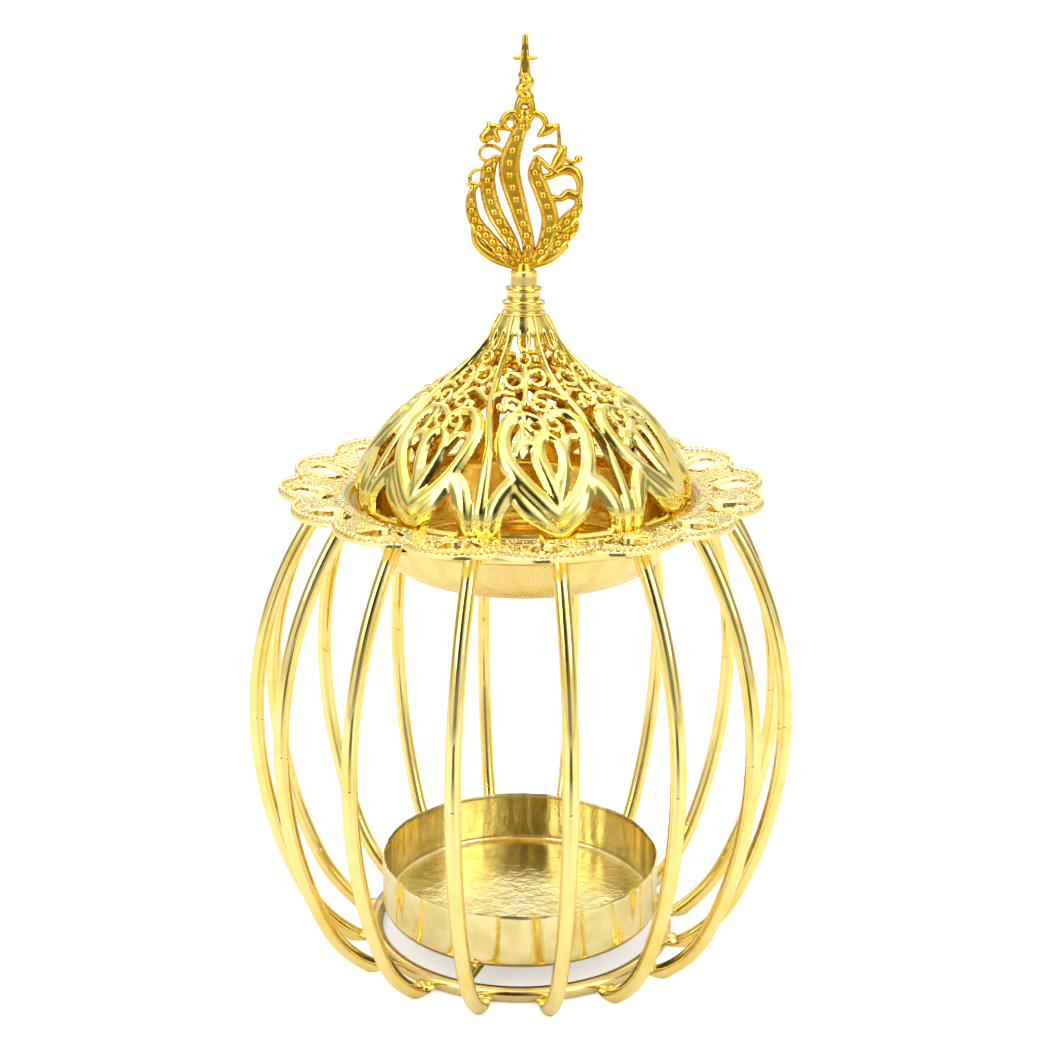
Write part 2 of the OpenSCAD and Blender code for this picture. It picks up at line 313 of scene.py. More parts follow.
def domes(name, places, material, sides=10, rings=3):
    """Small domes: each place is (centre, outward direction, radius, height), in millimetres."""
    vertices, faces = [], []
    for centre, out, radius, height in places:
        out = np.asarray(out, float)
        side = np.cross(out, [0.3, 0.5, 0.81])
        side /= np.linalg.norm(side)
        other = np.cross(out, side)
        base = len(vertices)
        for ring in range(rings):
            tilt = math.pi / 2 * ring / rings
            for n in range(sides):
                turn = FULL_TURN * n / sides
                flat = side * math.cos(turn) + other * math.sin(turn)
                rise = out * height * math.sin(tilt)
                vertices.append(centre + flat * radius * math.cos(tilt) + rise)
        vertices.append(np.asarray(centre) + out * height)
        for ring in range(rings - 1):
            for n in range(sides):
                a, b = base + ring * sides + n, base + ring * sides + (n + 1) % sides
                faces.append([a, b, b + sides, a + sides])
        top = base + rings * sides
        for n in range(sides):
            faces.append([top - sides + n, top - sides + (n + 1) % sides, top])
        faces.append([base + n for n in range(sides)][::-1])
    return make_object(name, vertices, faces, material, sharp=60)


# ---------------------------------------------------------------- materials

# Bowl's finish: distance between the hatched lines, their number around, and the grain's size
HATCH_PITCH = 0.8
HATCH_LINES = 190
GRAIN_SIZE = 0.62


class Graph:
    """Short calls for the nodes of the world or of one material."""

    def __init__(self, tree):
        self.tree = tree

    def add(self, kind, **settings):
        made = self.tree.nodes.new(kind)
        for key, value in settings.items():
            setattr(made, key, value)
        return made

    def link(self, source, target):
        if isinstance(source, (int, float, Vector)):
            target.default_value = source
        else:
            self.tree.links.new(source, target)

    def math(self, operation, a, b=0.0):
        made = self.add("ShaderNodeMath", operation=operation)
        self.link(a, made.inputs[0])
        self.link(b, made.inputs[1])
        return made.outputs[0]

    def coordinates(self, kind):
        return self.add("ShaderNodeTexCoord").outputs[kind]

    def parts(self, vector):
        """X, Y and Z of a vector."""
        made = self.add("ShaderNodeSeparateXYZ")
        self.link(vector, made.inputs[0])
        return made.outputs

    def dot(self, a, b):
        made = self.add("ShaderNodeVectorMath", operation="DOT_PRODUCT")
        self.link(a, made.inputs[0])
        self.link(b, made.inputs[1])
        return made.outputs["Value"]

    def spread(self, source, low, high, to_low, to_high):
        """Maps low..high to to_low..to_high and stops at both ends."""
        made = self.add("ShaderNodeMapRange", interpolation_type="SMOOTHSTEP")
        self.link(source, made.inputs["Value"])
        ends = {"From Min": low, "From Max": high, "To Min": to_low, "To Max": to_high}
        for socket, value in ends.items():
            made.inputs[socket].default_value = value
        return made.outputs["Result"]


class Finish(Graph):
    """A new material and short calls for its surface. Sizes and depths are in millimetres."""

    def __init__(self, name):
        self.material = bpy.data.materials.new(name)
        self.material.use_nodes = True
        super().__init__(self.material.node_tree)
        self.surface = self.tree.nodes["Principled BSDF"]
        self.place = self.coordinates("Object")

    def noise(self, size_mm, detail=3.0, roughness=0.55, stretch=(1, 1, 1)):
        """Noise from 0 to 1 with features of about a size in millimetres."""
        scaled = self.add("ShaderNodeMapping")
        scaled.inputs["Scale"].default_value = stretch
        self.link(self.place, scaled.inputs["Vector"])
        made = self.add("ShaderNodeTexNoise")
        made.inputs["Scale"].default_value = 1 / (size_mm * MM)
        made.inputs["Detail"].default_value = detail
        made.inputs["Roughness"].default_value = roughness
        self.link(scaled.outputs[0], made.inputs["Vector"])
        return made.outputs["Fac"]

    def mixed(self, share, a, b):
        """Colour a where share is 0 and b where it is 1."""
        made = self.add("ShaderNodeMix", data_type="RGBA")
        self.link(share, made.inputs["Factor"])
        for socket, colour in ((made.inputs["A"], a), (made.inputs["B"], b)):
            if isinstance(colour, tuple):
                socket.default_value = (*colour, 1)
            else:
                self.tree.links.new(colour, socket)
        return made.outputs["Result"]

    def bump(self, height, depth_mm, under=None):
        made = self.add("ShaderNodeBump")
        made.inputs["Distance"].default_value = depth_mm * MM
        self.link(height, made.inputs["Height"])
        if under:
            self.link(under, made.inputs["Normal"])
        return made.outputs["Normal"]

    def outward(self):
        """Distance from the Z axis in mm, times how squarely a face looks away from the axis."""
        flat = self.add("ShaderNodeVectorMath", operation="MULTIPLY")
        self.link(self.place, flat.inputs[0])
        flat.inputs[1].default_value = (1 / MM, 1 / MM, 0)
        return self.dot(flat.outputs[0], self.coordinates("Normal"))

    def done(self, colour, roughness, normal):
        self.surface.inputs["Metallic"].default_value = 1.0
        self.link(colour, self.surface.inputs["Base Color"])
        self.link(roughness, self.surface.inputs["Roughness"])
        self.link(normal, self.surface.inputs["Normal"])
        return self.material


def plated(name, bright, deep, rough, wave, grain, patch_mm, inside=None):
    """Polished plate: slow drifts of colour, fine scratches and a slight unevenness.

    A piece with an inside has another colour on the faces that look towards the Z axis: painted
    shade and reflection, a deeper amber for its hollow.
    """
    g = Finish(name)
    drift = g.spread(g.noise(patch_mm, 4), 0.38, 0.66, 0.0, 1.0)
    smear = g.spread(g.noise(1.3, 6, 0.7), 0.35, 0.75, *rough)
    uneven = g.bump(g.noise(2.6, 2), wave)
    normal = g.bump(g.noise(0.25, 3, 0.6), grain, uneven)
    colour = g.mixed(drift, bright, deep)
    if inside:
        # Painted shade and reflection: faces that look towards the axis take the deeper inside
        # colour.
        colour = g.mixed(g.spread(g.outward(), -2.0, -0.5, 1.0, 0.0), colour, inside)
    return g.done(colour, smear, normal)


def wire_plate(name):
    """Drawn wire: bright plate with fine lines along its length and small dull spots."""
    g = Finish(name)
    drift = g.spread(g.noise(9, 4), 0.42, 0.68, 0.0, 1.0)
    gold = g.mixed(drift, (0.95, 0.77, 0.3), (0.9, 0.69, 0.18))
    spots = g.spread(g.noise(1.1, 5, 0.75), 0.66, 0.74, 0.0, 1.0)
    colour = g.mixed(spots, gold, (0.7, 0.5, 0.2))
    rough = g.spread(g.noise(0.8, 5, 0.7, (1, 1, 0.12)), 0.3, 0.75, 0.05, 0.2)
    uneven = g.bump(g.noise(1.9, 2, 0.5, (1, 1, 0.25)), 0.022)
    lines = g.bump(g.noise(0.3, 3, 0.6, (1, 1, 0.1)), 0.003, uneven)
    return g.done(colour, rough, lines)


def worn_ring(name):
    """Thin plate on the ring and the bar, with grey steel showing through in patches."""
    g = Finish(name)
    barer_behind = g.spread(g.parts(g.place)["Y"], -14 * MM, 16 * MM, -0.2, 0.2)
    patches = g.math("ADD", g.noise(5.5, 5, 0.65), barer_behind)
    bare = g.spread(patches, 0.46, 0.62, 0.0, 0.85)
    gold = g.mixed(g.noise(3, 3), (0.88, 0.67, 0.27), (0.7, 0.52, 0.2))
    colour = g.mixed(bare, gold, (0.42, 0.39, 0.33))
    rough = g.spread(patches, 0.35, 0.75, 0.12, 0.4)
    return g.done(colour, rough, g.bump(g.noise(0.7, 5, 0.7), 0.02))


def hammered_cup(name):
    """Pale champagne plate with a rippled, fine-grained skin that is smoother on the outside."""
    g = Finish(name)
    drift = g.spread(g.noise(7, 4), 0.38, 0.66, 0.0, 1.0)
    colour = g.mixed(drift, (0.9, 0.77, 0.4), (0.76, 0.63, 0.26))
    grainy = g.spread(g.outward(), 10, 20, 1.0, 0.3)
    rough = g.math("MULTIPLY", g.spread(g.noise(1.5, 5, 0.7), 0.3, 0.75, 0.05, 0.16), grainy)
    waves = g.noise(1.9, 2, 0.5, (1, 1, 0.25))
    ripple = g.bump(g.math("MULTIPLY", waves, grainy), 0.13)
    skin = g.bump(g.math("MULTIPLY", g.noise(0.7, 4, 0.65), grainy), 0.07, ripple)
    return g.done(colour, rough, skin)


def stamped_bowl(name):
    """Pale gold sheet: fine crossed hatching below the flange, sugar-like grain on top of it, and
    painted shade, a deeper amber, inside the bowl under the lid.
    """
    g = Finish(name)
    x, y, z = g.parts(g.place)
    turn = g.math("ARCTAN2", x, y)
    radius = g.math("SQRT", g.math("ADD", g.math("MULTIPLY", x, x), g.math("MULTIPLY", y, y)))
    facing = g.parts(g.coordinates("Normal"))["Z"]
    run = g.math("MULTIPLY", g.math("ADD", radius, z), FULL_TURN / (HATCH_PITCH * MM))
    around = g.math("MULTIPLY", turn, float(HATCH_LINES))
    one = g.math("SINE", g.math("ADD", around, run))
    other = g.math("SINE", g.math("SUBTRACT", around, run))
    below_side = g.spread(facing, -0.25, 0.05, 1.0, 0.0)
    hatch = g.math("MULTIPLY", g.math("MAXIMUM", one, other), g.math("MULTIPLY", below_side, 0.42))
    on_top = g.spread(facing, 0.2, 0.6, 0.0, 1.0)
    on_flange = g.math("MULTIPLY", on_top, g.spread(radius, 33.8 * MM, 35 * MM, 0.0, 1.0))
    grain = g.add("ShaderNodeTexVoronoi")
    grain.inputs["Scale"].default_value = 1 / (GRAIN_SIZE * MM)
    g.link(g.place, grain.inputs["Vector"])
    pebbles = g.math("MULTIPLY", g.math("SUBTRACT", 1.0, grain.outputs["Distance"]), 1.6)
    height = g.add("ShaderNodeMix", data_type="FLOAT")
    g.link(on_flange, height.inputs["Factor"])
    g.link(hatch, height.inputs["A"])
    g.link(pebbles, height.inputs["B"])
    drift = g.spread(g.noise(8, 4), 0.38, 0.66, 0.0, 1.0)
    # Painted shade and reflection: faces inside the bowl that don't look down, under the lid, get a
    # deeper amber (0.88, 0.6, 0.09).
    painted_bowl_shade = g.math("MULTIPLY", g.spread(facing, -0.2, 0.0, 0.0, 1.0),
                    g.spread(radius, 32.5 * MM, 33.8 * MM, 1.0, 0.0))
    below = g.mixed(drift, (0.95, 0.76, 0.31), (0.92, 0.71, 0.23))
    below = g.mixed(painted_bowl_shade, below, (0.88, 0.6, 0.09))
    above = g.mixed(drift, (0.95, 0.8, 0.42), (0.92, 0.75, 0.29))
    smear = g.math("MULTIPLY", g.spread(g.noise(1.2, 5, 0.7), 0.3, 0.75, 0.12, 0.3),
                   g.spread(on_flange, 0, 1, 0.8, 1))
    relief = g.bump(height.outputs["Result"], 0.075, g.bump(g.noise(3.2, 2), 0.03))
    return g.done(g.mixed(on_flange, below, above), smear, relief)


def cast_finial(name):
    """Deep antique gold casting, darker in random patches, with a sandy skin."""
    g = Finish(name)
    drift = g.spread(g.noise(3.5, 5, 0.6), 0.36, 0.66, 0.0, 1.0)
    colour = g.mixed(drift, (0.84, 0.55, 0.08), (0.72, 0.43, 0.03))
    rough = g.spread(g.noise(0.7, 5, 0.7), 0.3, 0.75, 0.14, 0.34)
    sand = g.bump(g.noise(0.5, 4, 0.6), 0.008)
    return g.done(colour, rough, g.bump(g.noise(1.6, 2), 0.03, sand))


def zinc(name):
    """Dull zinc plate of the screw and the washer."""
    g = Finish(name)
    colour = g.mixed(g.noise(1.5, 4), (0.66, 0.65, 0.6), (0.5, 0.49, 0.45))
    rough = g.spread(g.noise(0.6, 5, 0.7), 0.3, 0.75, 0.22, 0.45)
    return g.done(colour, rough, g.bump(g.noise(0.3, 4), 0.008))


WIRE = wire_plate("wire_gold")
RING = worn_ring("ring_worn_gold")
CUP = hammered_cup("cup_champagne_gold")
BOWL = stamped_bowl("bowl_stamped_gold")
# The lid's inside colour (0.85, 0.57, 0.06) is painted shade and reflection: a deeper amber for the
# hollow of its wall.
LID = plated("lid_bright_gold", (0.95, 0.79, 0.27), (0.9, 0.72, 0.16), rough=(0.06, 0.2),
             wave=0.03, grain=0.004, patch_mm=5.0, inside=(0.85, 0.57, 0.06))
STEM = plated("stem_turned_brass", (0.92, 0.7, 0.21), (0.84, 0.61, 0.13), rough=(0.08, 0.22),
              wave=0.01, grain=0.003, patch_mm=4.0)
FINIAL = cast_finial("finial_cast_gold")
ZINC = zinc("fastener_zinc")


def repaint(name, material):
    """Gives a CAD node that stays visible its finish."""
    node = frame["nodes"][name]
    node.data.materials.clear()
    node.data.materials.append(material)


# ---------------------------------------------------------------- cage

WIRE_R = 1.5
# Heights of the weld and braze spots, and the turn of the cross bar, which the braze spots follow
FOOT_WELD_Z = 0.9
TOP_WELD_Z = 90.9
BRAZE_Z = 4.9
BAR_TURN = math.radians(-20)


def build_cage():
    """Wires keep their CAD shape; welds and the brazed spots under the cup are added."""
    nodes = frame["record"]["behaviour"]["bodies"]["cage"]
    ribs = sorted(name for name in nodes if name.startswith("rib_"))
    for name in (*ribs, "upper_ring"):
        repaint(name, WIRE)
    for name in ("base_ring", "cross_bar"):
        repaint(name, RING)
    foot_r = node_box("base_ring")[1][0]
    top_r = node_box("upper_ring")[1][0] - WIRE_R
    feet, tops = [], []
    draw = random.Random(3)
    for name in ribs:
        low, high = node_box(name)
        turn = math.atan2(low[0] + high[0], -low[1] - high[1])
        out, side = level_direction(turn), level_direction(turn + math.pi / 2)
        spot = out * foot_r + side * draw.uniform(-0.3, 0.3) + UP * FOOT_WELD_Z
        feet.append((spot, UP, draw.uniform(2.0, 2.3), draw.uniform(0.9, 1.2)))
        tops.append((out * top_r + UP * TOP_WELD_Z, -UP, 2.1, draw.uniform(0.7, 1.1)))
    finished(domes("rib_foot_welds", feet, WIRE, 16, 6), "cage", "cage_wire")
    finished(domes("rib_top_welds", tops, WIRE, 16, 6), "cage", "cage_wire")
    out = level_direction(BAR_TURN)
    reach = out * (node_box("candle_cup")[1][0] - 1.3)
    spots = [(UP * BRAZE_Z + reach, out, 1.5, 1.5), (UP * BRAZE_Z - reach, -out, 1.3, 1.4)]
    finished(domes("cup_braze_spots", spots, RING, 18, 6), "cage", "ring_wire")


# ---------------------------------------------------------------- cup

CUP_SHEET = 0.6
CUP_DISH = 0.12


def build_cup():
    """Spun tray whose thin wall is rippled by hand work, with a lightly dished floor."""
    low, high = node_box("candle_cup")
    radius, floor = high[0] - CUP_SHEET, low[2] + CUP_SHEET
    draw = random.Random(7)
    ripples = [(k, draw.uniform(0.4, 1.0), draw.uniform(0, FULL_TURN)) for k in range(9, 58, 3)]

    def wobble(turn, r, z):
        up_the_wall = smooth_step(low[2] + 1.2, low[2] + 3.5, z)
        wave = sum(a * np.sin(k * turn + p) / k for k, a, p in ripples)
        hollow = 1 - smooth_step(0, radius - 2, r)
        return up_the_wall * wave * 0.75, -CUP_DISH * hollow

    profile = fillet([(0.4, floor), (radius, floor), (radius, high[2])], [1.1], step=0.5)
    cup = sheet("candle_cup_spun", profile, CUP_SHEET, 360, CUP, wobble)
    finished(cup, "cage", "cup_sheet", "candle_cup")


# ---------------------------------------------------------------- bowl and flange

PETALS = 16
PETAL_PHASE = math.radians(5.5)
PETAL_TURN = FULL_TURN / PETALS
# A petal ends in a circle of PETAL_R, whose middle is PETAL_AT from the axis.
PETAL_R = 11.0
FLANGE_TIP_R = 47.2
PETAL_AT = FLANGE_TIP_R - PETAL_R
LIFT_FROM_R = 36.5
BOWL_SHEET = 1.0
SEAT_DEPTH = 2.0
# Beads along the edge of each petal, and tries at placing a grain on it
RIM_BEADS = 17
GRAINS = 120


def build_bowl():
    """Shallow bowl, the seat of the lid and the lace flange, with beads and grain on the petals."""
    low, high = node_box("bowl")
    floor, seat_z, top_z = low[2] + BOWL_SHEET, high[2] - SEAT_DEPTH, high[2]
    corners = [(0.5, floor), (25.65, floor), (29.98, seat_z), (33.4, seat_z), (33.5, top_z),
               (36.3, top_z)]
    profile = fillet(corners, [5.5, 0.8, 0.5, 1.15], step=0.7)
    columns = PETALS * 16
    outer = revolve(profile + normals_of(profile) * BOWL_SHEET, columns)
    inner = revolve(profile, columns)
    whole = np.full(outer.shape[:2], -1.0)
    shell = pierced_shell("bowl_and_flange", outer, inner, whole, BOWL, fan=True)
    lace = flange_lace(profile[-1][0], top_z)
    beads = flange_beads(top_z)
    finished(joined("bowl_and_flange", [shell, lace]), "bowl", "bowl_sheet", "bowl")
    finished(beads, "bowl", "bowl_sheet")


def flange_lace(edge_r, top_z):
    """Pierced petals, from a little under the shell's edge out to their tips."""
    turn = np.linspace(0, FULL_TURN, PETALS * 48, endpoint=False)[None, :]
    radius = np.arange(edge_r - 0.6, FLANGE_TIP_R + 0.6, 0.3)[:, None]
    turn, radius = np.broadcast_arrays(turn, radius)
    local = (turn - PETAL_PHASE + PETAL_TURN / 2) % PETAL_TURN - PETAL_TURN / 2
    x, y = radius * np.sin(local), radius * np.cos(local)
    outline = np.minimum(np.hypot(x, y - PETAL_AT) - PETAL_R, radius - (FLANGE_TIP_R - 4.3))
    arch, _ = band_fields(x, y, [(0, FLANGE_TIP_R - 7.4, 4.4), (0, FLANGE_TIP_R - 5.6, 4.9)])
    slots = []
    for side in (-1, 1):
        points = [(side * 1.6, 37.2, 0.7), (side * 3.1, 37.9, 1.1), (side * 4.3, 39.4, 0.8)]
        slots.append(band_fields(x, y, curve_through(points, 4))[0])
    eye = np.hypot(x, y - 37.0) - 0.55
    field = np.maximum(outline, -np.minimum.reduce([arch, *slots, eye]))

    rim = np.exp(-((-outline - 0.55) / 0.42) ** 2) * 0.4
    collar = np.exp(-((arch - 0.6) / 0.38) ** 2) * 0.35
    vein = np.exp(-((np.abs(x) - 3.6) / 0.5) ** 2) * smooth_step(38.5, 40.5, y) * 0.16
    edge = np.clip(-field, 0, 0.5)
    bevel = 0.28 * (1 - np.sqrt(1 - (1 - edge / 0.5) ** 2))
    tuck = 0.25 * (1 - smooth_step(edge_r - 0.1, edge_r + 0.5, radius))
    relief = rim + collar + vein - bevel - tuck
    lift = flange_lift(radius, turn)
    thinning = 0.5 * smooth_step(38, 44, radius)

    def layer(height):
        return np.stack([radius * np.sin(turn), -radius * np.cos(turn), top_z + height + lift], -1)

    return pierced_shell("flange_lace", layer(thinning - 1.15), layer(relief * 0.8), field, BOWL)


def flange_beads(top_z):
    """Row of beads along each petal's edge, and scattered grains between the openings."""
    draw = random.Random(11)
    places = []
    for n in range(PETALS):
        middle = PETAL_PHASE + n * PETAL_TURN
        for k in range(RIM_BEADS):
            beta = math.radians((k - RIM_BEADS // 2) * 6.25)
            x = (PETAL_R - 0.55) * math.sin(beta)
            y = PETAL_AT + (PETAL_R - 0.55) * math.cos(beta)
            places.append(bead_place(middle, x, y, top_z + 0.62, 0.47, 0.5))
        for _ in range(GRAINS):
            x, y = draw.uniform(-6.5, 6.5), draw.uniform(35.2, FLANGE_TIP_R - 1.3)
            if keeps_clear(x, y):
                size = draw.uniform(0.22, 0.36)
                places.append(bead_place(middle, x, y, top_z + 0.02, size, size * 0.95))
    return domes("flange_beads", places, BOWL, sides=8, rings=2)


def flange_lift(radius, turn):
    """How far the hand-bent petals stand up at their tips: least in front, most at the back."""
    return smooth_step(LIFT_FROM_R, FLANGE_TIP_R, radius) * (1.15 - 0.95 * np.cos(turn))


def bead_place(middle, x, y, z, radius, height):
    """Place of a bead from its position beside the middle line of a petal."""
    turn = middle + math.atan2(x, y)
    r = math.hypot(x, y)
    z += float(flange_lift(r, turn))
    return level_direction(turn) * r + UP * z, UP, radius, height


def keeps_clear(x, y):
    """True where a grain of the flange lies on metal and inside its own petal."""
    inside = math.hypot(x, y - PETAL_AT) < PETAL_R - 1.3 or math.hypot(x, y) < FLANGE_TIP_R - 5.6
    own = abs(math.atan2(x, y)) < PETAL_TURN / 2
    arch = math.hypot(x, max(0, abs(y - FLANGE_TIP_R + 6.5) - 0.9)) > 3.4
    slot = math.hypot(abs(x) - 3.0, y - 38.1) > 1.8 and math.hypot(x, y - 37) > 1.0
    return inside and own and arch and slot


# ---------------------------------------------------------------- lid

REPEATS = 7
REPEAT_TURN = FULL_TURN / REPEATS
LID_PHASE = math.radians(11.7)
# The pattern of one repeat. Each point is (turn in degrees from the middle of the repeat,
# distance up the wall in mm, width in mm); each band is its points and the height it stands out.
HEART_LEFT = [(0.5, 4.9, 2.3), (-5.7, 8.6, 2.3), (-12.4, 12.3, 2.4), (-17.9, 16, 2.5),
              (-19.7, 19.3, 2.2), (-18.4, 22.4, 1.9), (-14.6, 24.9, 1.8), (-9, 26, 1.8),
              (-3.2, 25.9, 1.4), (2, 24.3, 1.1)]
HEART_RIGHT = [(0.5, 4.9, 2.3), (4.3, 7.2, 2.1), (8.9, 9.9, 2.1), (13.3, 13.8, 2.1),
               (16.6, 18.1, 2.2), (19.4, 21.7, 2.2), (19.4, 24.4, 2.0), (16.3, 26.3, 1.8),
               (10.5, 26.4, 1.5), (5.4, 25.6, 1.2), (2, 24.3, 1.1)]
LID_BANDS = [
    (HEART_LEFT, 0.68),
    (HEART_RIGHT, 0.68),
    ([(-21.9, 0.6, 2.2), (-21.3, 4.5, 2.2), (-20, 7.4, 2.4), (-17.9, 9.6, 2.4),
      (-15.6, 11.2, 2.2)], 0.62),
    ([(21.6, 0.6, 2.1), (20.8, 4.5, 2.1), (19.6, 7.2, 2.3), (17, 10.2, 2.4),
      (13.5, 12, 2.2)], 0.62),
    ([(-15.5, 10.8, 1.9), (-12.4, 8.4, 2.2), (-8.3, 5.8, 2.3), (-4, 3.4, 2.2),
      (-0.5, 1.6, 2.4)], 0.4),
    ([(13, 11.2, 1.7), (10, 8.3, 1.7), (6.8, 5.4, 2.2), (3.6, 3, 2.3), (0.8, 1.6, 2.4)], 0.4),
    ([(1, 21.6, 1.3), (-3.4, 20.3, 1.9), (-5.2, 18, 2.1), (-4.5, 15.8, 2.1), (-2.6, 13.1, 2.0),
      (-0.9, 10, 1.6), (0.4, 6.8, 1.1)], 0.6),
    ([(1, 21.6, 1.3), (4.2, 20.2, 1.4), (5, 17.8, 1.4), (4.6, 15.2, 1.5), (3.2, 12.3, 1.7),
      (1.6, 9.4, 1.5), (0.5, 6.8, 1.1)], 0.6),
    ([(0.6, 12.2, 1.5), (0.4, 8, 1.4)], 0.5),
    ([(-13.2, 17.6, 1.5), (-12, 19, 2), (-9, 19.6, 2.1), (-5.5, 19.2, 1.9)], 0.55),
    ([(-10.6, 20.4, 0.8), (-9.8, 22.6, 0.7), (-8.2, 25, 0.8)], 0.35),
    ([(2, 24.6, 1.1), (1.6, 23, 0.9), (1, 21.6, 1.3)], 0.45),
    ([(5.6, 16.8, 0.9), (7.6, 18.8, 0.9), (10.2, 20.6, 0.9), (13, 21, 0.9),
      (16.6, 20.5, 0.9)], 0.35),
    ([(10.6, 23.6, 0.7), (8.5, 21.3, 0.7), (6.6, 19.5, 0.8)], 0.3),
    ([(-24.5, 30.5, 0.8), (-17, 31.9, 0.75), (-10, 31.5, 0.75)], 0.35),
    ([(3.5, 30.6, 0.8), (9, 32, 0.75), (16, 31.4, 0.8), (24.5, 29.4, 0.9)], 0.35),
    ([(-8, 44.6, 0.65), (-6.5, 42.6, 0.65), (1.5, 41.3, 0.65), (9.5, 42.6, 0.65),
      (11, 44.6, 0.65)], 0.3),
    ([(1.5, 38, 0.7), (1.5, 35, 0.9), (-2.5, 30.4, 0.9)], 0.35),
]
# Rings of the pattern: (turn, distance up the wall, radius, width of the ring)
LID_RINGS = [(-2.6, 23.5, 1.35, 0.75), (6.6, 23.8, 1.2, 0.7), (-11, 28.9, 1.3, 0.8),
             (5.4, 28.5, 1.3, 0.8), (-9.5, 34.7, 1.7, 0.8), (11.6, 35.4, 1.65, 0.8),
             (1.5, 39.3, 1.15, 0.65)]
# Solid studs of the pattern: (turn, distance up the wall, radius)
LID_STUDS = [(-2.8, 29.4, 0.85), (-18.6, 28, 0.95), (12.6, 28.4, 0.75), (-19.5, 33.2, 0.6),
             (21, 33.4, 0.6)]
LID_RING_HEIGHT = 0.38
LID_STUD_HEIGHT = 0.55
# Plain band at the base and plain collar at the neck, as distances up the wall
BASE_BAND = 1.5
COLLAR_FROM = 44.4
# Size of the grid: rows up the wall and columns in each repeat
LID_ROWS = 112
LID_COLUMNS = 72
# The sheet, the least that is left of it under a groove, and the room kept below the relief
LID_SHEET = 0.95
LID_LEAST = 0.55
LID_SETTLE = 0.55


def arc(centre, radius, first, last, count):
    """Points of an arc between two angles."""
    angle = np.linspace(first, last, count)
    return centre + radius * np.column_stack([np.cos(angle), np.sin(angle)])


def lid_profile():
    """Outline of the lid's wall from its base up: a shoulder, the dome and the flare to the neck.

    Gives distances up the wall and the [radius, height] of each.
    """
    low, high = node_box("lid")
    shoulder_r, dome_r, flare_r = 7.0, 43.2, 32.6
    first, last = math.radians(27.6), math.radians(58.4)
    shoulder = np.array([high[0] - shoulder_r, low[2] + 3.7])
    dome = shoulder - (dome_r - shoulder_r) * np.array([math.cos(first), math.sin(first)])
    flare = dome + (dome_r + flare_r) * np.array([math.cos(last), math.sin(last)])
    neck = math.asin((flare[1] - high[2]) / flare_r)
    line = np.vstack([[[high[0], low[2]]],
                      arc(shoulder, shoulder_r, 0, first, 30),
                      arc(dome, dome_r, first, last, 90)[1:],
                      arc(flare, flare_r, math.pi + last, math.pi + neck, 70)[1:]])
    run = run_along(line)
    steps = np.linspace(0, run[-1], LID_ROWS)
    radius, height = (np.interp(steps, run, line[:, n]) for n in range(2))
    return steps, np.column_stack([radius, height])


def on_wall(points, steps, profile):
    """Points of a band as [mm across, mm up, mm wide] on the unrolled wall."""
    p = curve_through(points, 6)
    r = np.interp(p[:, 1], steps, profile[:, 0])
    width = p[:, 2] * (1.24 - 0.16 * smooth_step(24, 30, p[:, 1]))
    return np.column_stack([np.radians(p[:, 0]) * r, p[:, 1], width])


def lid_fields(turn, up, steps, profile):
    """Where the lid's wall is kept (negative) and how far its relief stands out, for one repeat."""
    radius = profile[:, :1]
    x = turn * radius

    def apart(middle, at):
        across = math.radians(middle) * float(np.interp(at, steps, profile[:, 0]))
        return np.hypot(x - across, up - at)

    groups = []
    for points, height in LID_BANDS:
        groups.append((*band_fields(x, up, on_wall(points, steps, profile)), height))
    for middle, at, r, width in LID_RINGS:
        distance = np.abs(apart(middle, at) - r) - width / 2
        groups.append((distance, width / 2, LID_RING_HEIGHT))
    for middle, at, r in LID_STUDS:
        groups.append((apart(middle, at) - r, r, LID_STUD_HEIGHT))
    beside = (REPEAT_TURN / 2 - np.abs(turn)) * radius
    strip = 0.62 + 0.38 * (1 - smooth_step(4, 15, up)) - 0.12 * smooth_step(24, 42, up)
    groups.append((beside - strip, strip, 0.6 + 0.12 * smooth_step(14, 22, up)))
    groups.append((up - BASE_BAND, 1.2, 0.22))
    kept = np.full(x.shape, 1e3)
    relief = np.zeros(x.shape)
    for distance, half, height in groups:
        kept = np.minimum(kept, distance)
        relief = np.maximum(relief, height * crowned(distance, half))
    web = 0.26 * (1 - smooth_step(12, 22, up)) + 0.04
    kept = np.minimum(kept - web, np.minimum(up - BASE_BAND, COLLAR_FROM - up))
    groove = np.exp(-(beside / 0.2) ** 2) * (1 - smooth_step(13, 19, up))
    return kept, softened(relief - groove * 0.5)


def build_lid():
    """Bell-shaped wall with raised bands between its openings, a little twisted near its neck."""
    steps, profile = lid_profile()
    share = np.arange(LID_COLUMNS) / LID_COLUMNS - 0.5
    turn, up = np.meshgrid(share * REPEAT_TURN, steps)
    kept, relief = (np.tile(part, REPEATS) for part in lid_fields(turn, up, steps, profile))
    sway = -math.radians(12) * smooth_step(16, 40, steps)[:, None]
    share = np.arange(LID_COLUMNS * REPEATS)[None, :] / LID_COLUMNS - 0.5
    around = LID_PHASE + sway + share * REPEAT_TURN
    away = normals_of(profile)
    edge = np.clip(-kept, 0, 0.35) / 0.35
    bevel = 0.16 * (1 - np.sqrt(1 - (1 - edge) ** 2))
    # The wall is set back to make room for the relief, except at the neck.
    settle = LID_SETTLE * (1 - smooth_step(42, 46, steps))[:, None]
    out = relief - bevel - settle
    inside = np.minimum(0.35 * relief - LID_SHEET - settle, out - LID_LEAST)

    def grid(offset):
        r = profile[:, :1] + away[:, :1] * offset
        z = profile[:, 1:] + away[:, 1:] * offset
        return np.stack([r * np.sin(around), -r * np.cos(around), np.maximum(z, profile[0, 1])], -1)

    lid = pierced_shell("lid_pierced", grid(out), grid(inside), kept, LID, sharp=50)
    finished(lid, "lid", "lid_sheet", "lid")


# ---------------------------------------------------------------- stem and fasteners

